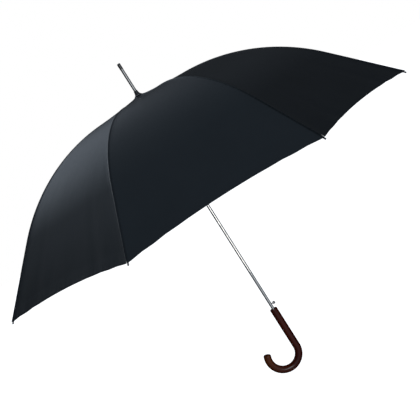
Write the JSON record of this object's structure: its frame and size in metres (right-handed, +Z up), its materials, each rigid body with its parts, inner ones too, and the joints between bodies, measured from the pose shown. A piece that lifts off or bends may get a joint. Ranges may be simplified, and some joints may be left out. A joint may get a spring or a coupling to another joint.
{
  "type": "stick umbrella",
  "caption": "Stick umbrella drawn open: domed cloth canopy on folding steel ribs and stretchers, slim metal shaft, ferrule, push button and a bent wooden crook handle.",
  "frame": {"origin": "on the shaft axis at the middle of the straight grip", "axes": "+Z up the shaft to the ferrule, the crook opens toward -X in the XZ plane, the button faces +X"},
  "size_m": [1.0828, 1.0828, 0.9211],
  "materials": {
    "rib_steel": "satin plated steel channel",
    "tip_metal": "dull dark metal",
    "stretcher_steel": "satin plated steel channel",
    "canopy_cloth": "close-woven black cloth with a faint sheen",
    "shaft_chrome": "polished chrome plate",
    "ferrule_steel": "satin grey metal",
    "black_plastic": "glossy black",
    "notch_plastic": "moulded black",
    "runner_plastic": "moulded black",
    "wire_steel": "bright wire",
    "button_metal": "polished",
    "catch_steel": "spring steel",
    "handle_wood": "dark red-brown stain under gloss varnish"
  },
  "bodies": {
    "shaft": {"shaft_tube": "shaft_chrome", "ferrule_tube": "ferrule_steel", "ferrule_tip": "black_plastic", "crown_cap": "black_plastic", "crown_cloth": "canopy_cloth", "top_notch": "notch_plastic", "notch_wire": "wire_steel", "trigger_catch": "catch_steel", "handle": "handle_wood"},
    "button": {"trigger_button": "button_metal"},
    "runner": {"runner": "runner_plastic", "runner_wire": "wire_steel"},
    "rib_1_inner": {"rib_1_inner": "rib_steel"},
    "rib_1_outer": {"rib_1_outer": "rib_steel", "rib_1_tip": "tip_metal"},
    "stretcher_1": {"stretcher_1": "stretcher_steel"},
    "rib_2_inner": {"rib_2_inner": "rib_steel"},
    "rib_2_outer": {"rib_2_outer": "rib_steel", "rib_2_tip": "tip_metal"},
    "stretcher_2": {"stretcher_2": "stretcher_steel"},
    "rib_3_inner": {"rib_3_inner": "rib_steel"},
    "rib_3_outer": {"rib_3_outer": "rib_steel", "rib_3_tip": "tip_metal"},
    "stretcher_3": {"stretcher_3": "stretcher_steel"},
    "rib_4_inner": {"rib_4_inner": "rib_steel"},
    "rib_4_outer": {"rib_4_outer": "rib_steel", "rib_4_tip": "tip_metal"},
    "stretcher_4": {"stretcher_4": "stretcher_steel"},
    "rib_5_inner": {"rib_5_inner": "rib_steel"},
    "rib_5_outer": {"rib_5_outer": "rib_steel", "rib_5_tip": "tip_metal"},
    "stretcher_5": {"stretcher_5": "stretcher_steel"},
    "rib_6_inner": {"rib_6_inner": "rib_steel"},
    "rib_6_outer": {"rib_6_outer": "rib_steel", "rib_6_tip": "tip_metal"},
    "stretcher_6": {"stretcher_6": "stretcher_steel"},
    "rib_7_inner": {"rib_7_inner": "rib_steel"},
    "rib_7_outer": {"rib_7_outer": "rib_steel", "rib_7_tip": "tip_metal"},
    "stretcher_7": {"stretcher_7": "stretcher_steel"},
    "rib_8_inner": {"rib_8_inner": "rib_steel"},
    "rib_8_outer": {"rib_8_outer": "rib_steel", "rib_8_tip": "tip_metal"},
    "stretcher_8": {"stretcher_8": "stretcher_steel"},
    "gore_1_upper": {"gore_1_upper": "canopy_cloth"},
    "gore_1_lower": {"gore_1_lower": "canopy_cloth"},
    "gore_2_upper": {"gore_2_upper": "canopy_cloth"},
    "gore_2_lower": {"gore_2_lower": "canopy_cloth"},
    "gore_3_upper": {"gore_3_upper": "canopy_cloth"},
    "gore_3_lower": {"gore_3_lower": "canopy_cloth"},
    "gore_4_upper": {"gore_4_upper": "canopy_cloth"},
    "gore_4_lower": {"gore_4_lower": "canopy_cloth"},
    "gore_5_upper": {"gore_5_upper": "canopy_cloth"},
    "gore_5_lower": {"gore_5_lower": "canopy_cloth"},
    "gore_6_upper": {"gore_6_upper": "canopy_cloth"},
    "gore_6_lower": {"gore_6_lower": "canopy_cloth"},
    "gore_7_upper": {"gore_7_upper": "canopy_cloth"},
    "gore_7_lower": {"gore_7_lower": "canopy_cloth"},
    "gore_8_upper": {"gore_8_upper": "canopy_cloth"},
    "gore_8_lower": {"gore_8_lower": "canopy_cloth"}
  },
  "joints": [
    {"name": "canopy_fold", "type": "hinge", "parent": "shaft", "child": "rib_1_inner", "pos_m": [0.00693, 0.00287, 0.70487], "axis": [-0.3827, 0.9239, 0], "range_deg": [0, 79.7], "stiffness_Nm_per_rad": 1, "springref_deg": -85.94},
    {"name": "rib_1_flex", "type": "hinge", "parent": "rib_1_inner", "child": "rib_1_outer", "pos_m": [0.26082, 0.10804, 0.6625], "axis": [-0.3827, 0.9239, 0], "range_deg": [-29.57, 0]},
    {"name": "stretcher_1_swing", "type": "hinge", "parent": "rib_1_inner", "child": "stretcher_1", "pos_m": [0.26082, 0.10804, 0.6625], "axis": [-0.3827, 0.9239, 0], "range_deg": [-159.5, 0]},
    {"name": "rib_2_fold", "type": "hinge", "parent": "shaft", "child": "rib_2_inner", "pos_m": [0.00287, 0.00693, 0.70487], "axis": [-0.9239, 0.3827, 0], "range_deg": [0, 79.8]},
    {"name": "rib_2_flex", "type": "hinge", "parent": "rib_2_inner", "child": "rib_2_outer", "pos_m": [0.10804, 0.26082, 0.6625], "axis": [-0.9239, 0.3827, 0], "range_deg": [-29.57, 0]},
    {"name": "stretcher_2_swing", "type": "hinge", "parent": "rib_2_inner", "child": "stretcher_2", "pos_m": [0.10804, 0.26082, 0.6625], "axis": [-0.9239, 0.3827, 0], "range_deg": [-159.5, 0]},
    {"name": "rib_3_fold", "type": "hinge", "parent": "shaft", "child": "rib_3_inner", "pos_m": [-0.00287, 0.00693, 0.70487], "axis": [-0.9239, -0.3827, 0], "range_deg": [0, 79.8]},
    {"name": "rib_3_flex", "type": "hinge", "parent": "rib_3_inner", "child": "rib_3_outer", "pos_m": [-0.10804, 0.26082, 0.6625], "axis": [-0.9239, -0.3827, 0], "range_deg": [-29.57, 0]},
    {"name": "stretcher_3_swing", "type": "hinge", "parent": "rib_3_inner", "child": "stretcher_3", "pos_m": [-0.10804, 0.26082, 0.6625], "axis": [-0.9239, -0.3827, 0], "range_deg": [-159.5, 0]},
    {"name": "rib_4_fold", "type": "hinge", "parent": "shaft", "child": "rib_4_inner", "pos_m": [-0.00693, 0.00287, 0.70487], "axis": [-0.3827, -0.9239, 0], "range_deg": [0, 79.8]},
    {"name": "rib_4_flex", "type": "hinge", "parent": "rib_4_inner", "child": "rib_4_outer", "pos_m": [-0.26082, 0.10804, 0.6625], "axis": [-0.3827, -0.9239, 0], "range_deg": [-29.57, 0]},
    {"name": "stretcher_4_swing", "type": "hinge", "parent": "rib_4_inner", "child": "stretcher_4", "pos_m": [-0.26082, 0.10804, 0.6625], "axis": [-0.3827, -0.9239, 0], "range_deg": [-159.5, 0]},
    {"name": "rib_5_fold", "type": "hinge", "parent": "shaft", "child": "rib_5_inner", "pos_m": [-0.00693, -0.00287, 0.70487], "axis": [0.3827, -0.9239, 0], "range_deg": [0, 79.8]},
    {"name": "rib_5_flex", "type": "hinge", "parent": "rib_5_inner", "child": "rib_5_outer", "pos_m": [-0.26082, -0.10804, 0.6625], "axis": [0.3827, -0.9239, 0], "range_deg": [-29.57, 0]},
    {"name": "stretcher_5_swing", "type": "hinge", "parent": "rib_5_inner", "child": "stretcher_5", "pos_m": [-0.26082, -0.10804, 0.6625], "axis": [0.3827, -0.9239, 0], "range_deg": [-159.5, 0]},
    {"name": "rib_6_fold", "type": "hinge", "parent": "shaft", "child": "rib_6_inner", "pos_m": [-0.00287, -0.00693, 0.70487], "axis": [0.9239, -0.3827, 0], "range_deg": [0, 79.8]},
    {"name": "rib_6_flex", "type": "hinge", "parent": "rib_6_inner", "child": "rib_6_outer", "pos_m": [-0.10804, -0.26082, 0.6625], "axis": [0.9239, -0.3827, 0], "range_deg": [-29.57, 0]},
    {"name": "stretcher_6_swing", "type": "hinge", "parent": "rib_6_inner", "child": "stretcher_6", "pos_m": [-0.10804, -0.26082, 0.6625], "axis": [0.9239, -0.3827, 0], "range_deg": [-159.5, 0]},
    {"name": "rib_7_fold", "type": "hinge", "parent": "shaft", "child": "rib_7_inner", "pos_m": [0.00287, -0.00693, 0.70487], "axis": [0.9239, 0.3827, 0], "range_deg": [0, 79.8]},
    {"name": "rib_7_flex", "type": "hinge", "parent": "rib_7_inner", "child": "rib_7_outer", "pos_m": [0.10804, -0.26082, 0.6625], "axis": [0.9239, 0.3827, 0], "range_deg": [-29.57, 0]},
    {"name": "stretcher_7_swing", "type": "hinge", "parent": "rib_7_inner", "child": "stretcher_7", "pos_m": [0.10804, -0.26082, 0.6625], "axis": [0.9239, 0.3827, 0], "range_deg": [-159.5, 0]},
    {"name": "rib_8_fold", "type": "hinge", "parent": "shaft", "child": "rib_8_inner", "pos_m": [0.00693, -0.00287, 0.70487], "axis": [0.3827, 0.9239, 0], "range_deg": [0, 79.8]},
    {"name": "rib_8_flex", "type": "hinge", "parent": "rib_8_inner", "child": "rib_8_outer", "pos_m": [0.26082, -0.10804, 0.6625], "axis": [0.3827, 0.9239, 0], "range_deg": [-29.57, 0]},
    {"name": "stretcher_8_swing", "type": "hinge", "parent": "rib_8_inner", "child": "stretcher_8", "pos_m": [0.26082, -0.10804, 0.6625], "axis": [0.3827, 0.9239, 0], "range_deg": [-159.5, 0]},
    {"name": "runner_pivot", "type": "hinge", "parent": "stretcher_1", "child": "runner", "pos_m": [0.00693, 0.00287, 0.62013], "axis": [-0.3827, 0.9239, 0], "range_deg": [0, 79.8]},
    {"name": "gore_1_fold", "type": "hinge", "parent": "shaft", "child": "gore_1_upper", "pos_m": [0.00693, 0, 0.70487], "axis": [0, 1, 0], "range_deg": [0, 78.29], "deforming": ["gore_1_upper"]},
    {"name": "gore_1_drape", "type": "hinge", "parent": "gore_1_upper", "child": "gore_1_lower", "pos_m": [0.26171, 0, 0.66491], "axis": [0, 1, 0], "range_deg": [-29.57, 0], "deforming": ["gore_1_lower"]},
    {"name": "gore_2_fold", "type": "hinge", "parent": "shaft", "child": "gore_2_upper", "pos_m": [0.0049, 0.0049, 0.70487], "axis": [-0.7071, 0.7071, 0], "range_deg": [0, 78.29], "deforming": ["gore_2_upper"]},
    {"name": "gore_2_drape", "type": "hinge", "parent": "gore_2_upper", "child": "gore_2_lower", "pos_m": [0.18506, 0.18506, 0.66491], "axis": [-0.7071, 0.7071, 0], "range_deg": [-29.57, 0], "deforming": ["gore_2_lower"]},
    {"name": "gore_3_fold", "type": "hinge", "parent": "shaft", "child": "gore_3_upper", "pos_m": [0, 0.00693, 0.70487], "axis": [-1, 0, 0], "range_deg": [0, 78.29], "deforming": ["gore_3_upper"]},
    {"name": "gore_3_drape", "type": "hinge", "parent": "gore_3_upper", "child": "gore_3_lower", "pos_m": [0, 0.26171, 0.66491], "axis": [-1, 0, 0], "range_deg": [-29.57, 0], "deforming": ["gore_3_lower"]},
    {"name": "gore_4_fold", "type": "hinge", "parent": "shaft", "child": "gore_4_upper", "pos_m": [-0.0049, 0.0049, 0.70487], "axis": [-0.7071, -0.7071, 0], "range_deg": [0, 78.29], "deforming": ["gore_4_upper"]},
    {"name": "gore_4_drape", "type": "hinge", "parent": "gore_4_upper", "child": "gore_4_lower", "pos_m": [-0.18506, 0.18506, 0.66491], "axis": [-0.7071, -0.7071, 0], "range_deg": [-29.57, 0], "deforming": ["gore_4_lower"]},
    {"name": "gore_5_fold", "type": "hinge", "parent": "shaft", "child": "gore_5_upper", "pos_m": [-0.00693, 0, 0.70487], "axis": [0, -1, 0], "range_deg": [0, 78.29], "deforming": ["gore_5_upper"]},
    {"name": "gore_5_drape", "type": "hinge", "parent": "gore_5_upper", "child": "gore_5_lower", "pos_m": [-0.26171, 0, 0.66491], "axis": [0, -1, 0], "range_deg": [-29.57, 0], "deforming": ["gore_5_lower"]},
    {"name": "gore_6_fold", "type": "hinge", "parent": "shaft", "child": "gore_6_upper", "pos_m": [-0.0049, -0.0049, 0.70487], "axis": [0.7071, -0.7071, 0], "range_deg": [0, 78.29], "deforming": ["gore_6_upper"]},
    {"name": "gore_6_drape", "type": "hinge", "parent": "gore_6_upper", "child": "gore_6_lower", "pos_m": [-0.18506, -0.18506, 0.66491], "axis": [0.7071, -0.7071, 0], "range_deg": [-29.57, 0], "deforming": ["gore_6_lower"]},
    {"name": "gore_7_fold", "type": "hinge", "parent": "shaft", "child": "gore_7_upper", "pos_m": [0, -0.00693, 0.70487], "axis": [1, 0, 0], "range_deg": [0, 78.29], "deforming": ["gore_7_upper"]},
    {"name": "gore_7_drape", "type": "hinge", "parent": "gore_7_upper", "child": "gore_7_lower", "pos_m": [0, -0.26171, 0.66491], "axis": [1, 0, 0], "range_deg": [-29.57, 0], "deforming": ["gore_7_lower"]},
    {"name": "gore_8_fold", "type": "hinge", "parent": "shaft", "child": "gore_8_upper", "pos_m": [0.0049, -0.0049, 0.70487], "axis": [0.7071, 0.7071, 0], "range_deg": [0, 78.29], "deforming": ["gore_8_upper"]},
    {"name": "gore_8_drape", "type": "hinge", "parent": "gore_8_upper", "child": "gore_8_lower", "pos_m": [0.18506, -0.18506, 0.66491], "axis": [0.7071, 0.7071, 0], "range_deg": [-29.57, 0], "deforming": ["gore_8_lower"]},
    {"name": "button_press", "type": "slide", "parent": "shaft", "child": "button", "axis": [-1, 0, 0], "range_m": [0, 0.0022], "stiffness_N_per_m": 600, "springref_m": -0.002}
  ],
  "couplings": [
    {"joint": "rib_1_flex", "follows": "canopy_fold", "ratio": -0.3697},
    {"joint": "stretcher_1_swing", "follows": "canopy_fold", "ratio": -2},
    {"joint": "rib_2_fold", "follows": "canopy_fold", "ratio": 1},
    {"joint": "rib_2_flex", "follows": "canopy_fold", "ratio": -0.3697},
    {"joint": "stretcher_2_swing", "follows": "canopy_fold", "ratio": -2},
    {"joint": "rib_3_fold", "follows": "canopy_fold", "ratio": 1},
    {"joint": "rib_3_flex", "follows": "canopy_fold", "ratio": -0.3697},
    {"joint": "stretcher_3_swing", "follows": "canopy_fold", "ratio": -2},
    {"joint": "rib_4_fold", "follows": "canopy_fold", "ratio": 1},
    {"joint": "rib_4_flex", "follows": "canopy_fold", "ratio": -0.3697},
    {"joint": "stretcher_4_swing", "follows": "canopy_fold", "ratio": -2},
    {"joint": "rib_5_fold", "follows": "canopy_fold", "ratio": 1},
    {"joint": "rib_5_flex", "follows": "canopy_fold", "ratio": -0.3697},
    {"joint": "stretcher_5_swing", "follows": "canopy_fold", "ratio": -2},
    {"joint": "rib_6_fold", "follows": "canopy_fold", "ratio": 1},
    {"joint": "rib_6_flex", "follows": "canopy_fold", "ratio": -0.3697},
    {"joint": "stretcher_6_swing", "follows": "canopy_fold", "ratio": -2},
    {"joint": "rib_7_fold", "follows": "canopy_fold", "ratio": 1},
    {"joint": "rib_7_flex", "follows": "canopy_fold", "ratio": -0.3697},
    {"joint": "stretcher_7_swing", "follows": "canopy_fold", "ratio": -2},
    {"joint": "rib_8_fold", "follows": "canopy_fold", "ratio": 1},
    {"joint": "rib_8_flex", "follows": "canopy_fold", "ratio": -0.3697},
    {"joint": "stretcher_8_swing", "follows": "canopy_fold", "ratio": -2},
    {"joint": "runner_pivot", "follows": "canopy_fold", "ratio": 1},
    {"joint": "gore_1_fold", "follows": "canopy_fold", "ratio": 0.981},
    {"joint": "gore_1_drape", "follows": "canopy_fold", "ratio": -0.3697},
    {"joint": "gore_2_fold", "follows": "canopy_fold", "ratio": 0.981},
    {"joint": "gore_2_drape", "follows": "canopy_fold", "ratio": -0.3697},
    {"joint": "gore_3_fold", "follows": "canopy_fold", "ratio": 0.981},
    {"joint": "gore_3_drape", "follows": "canopy_fold", "ratio": -0.3697},
    {"joint": "gore_4_fold", "follows": "canopy_fold", "ratio": 0.981},
    {"joint": "gore_4_drape", "follows": "canopy_fold", "ratio": -0.3697},
    {"joint": "gore_5_fold", "follows": "canopy_fold", "ratio": 0.981},
    {"joint": "gore_5_drape", "follows": "canopy_fold", "ratio": -0.3697},
    {"joint": "gore_6_fold", "follows": "canopy_fold", "ratio": 0.981},
    {"joint": "gore_6_drape", "follows": "canopy_fold", "ratio": -0.3697},
    {"joint": "gore_7_fold", "follows": "canopy_fold", "ratio": 0.981},
    {"joint": "gore_7_drape", "follows": "canopy_fold", "ratio": -0.3697},
    {"joint": "gore_8_fold", "follows": "canopy_fold", "ratio": 0.981},
    {"joint": "gore_8_drape", "follows": "canopy_fold", "ratio": -0.3697}
  ]
}
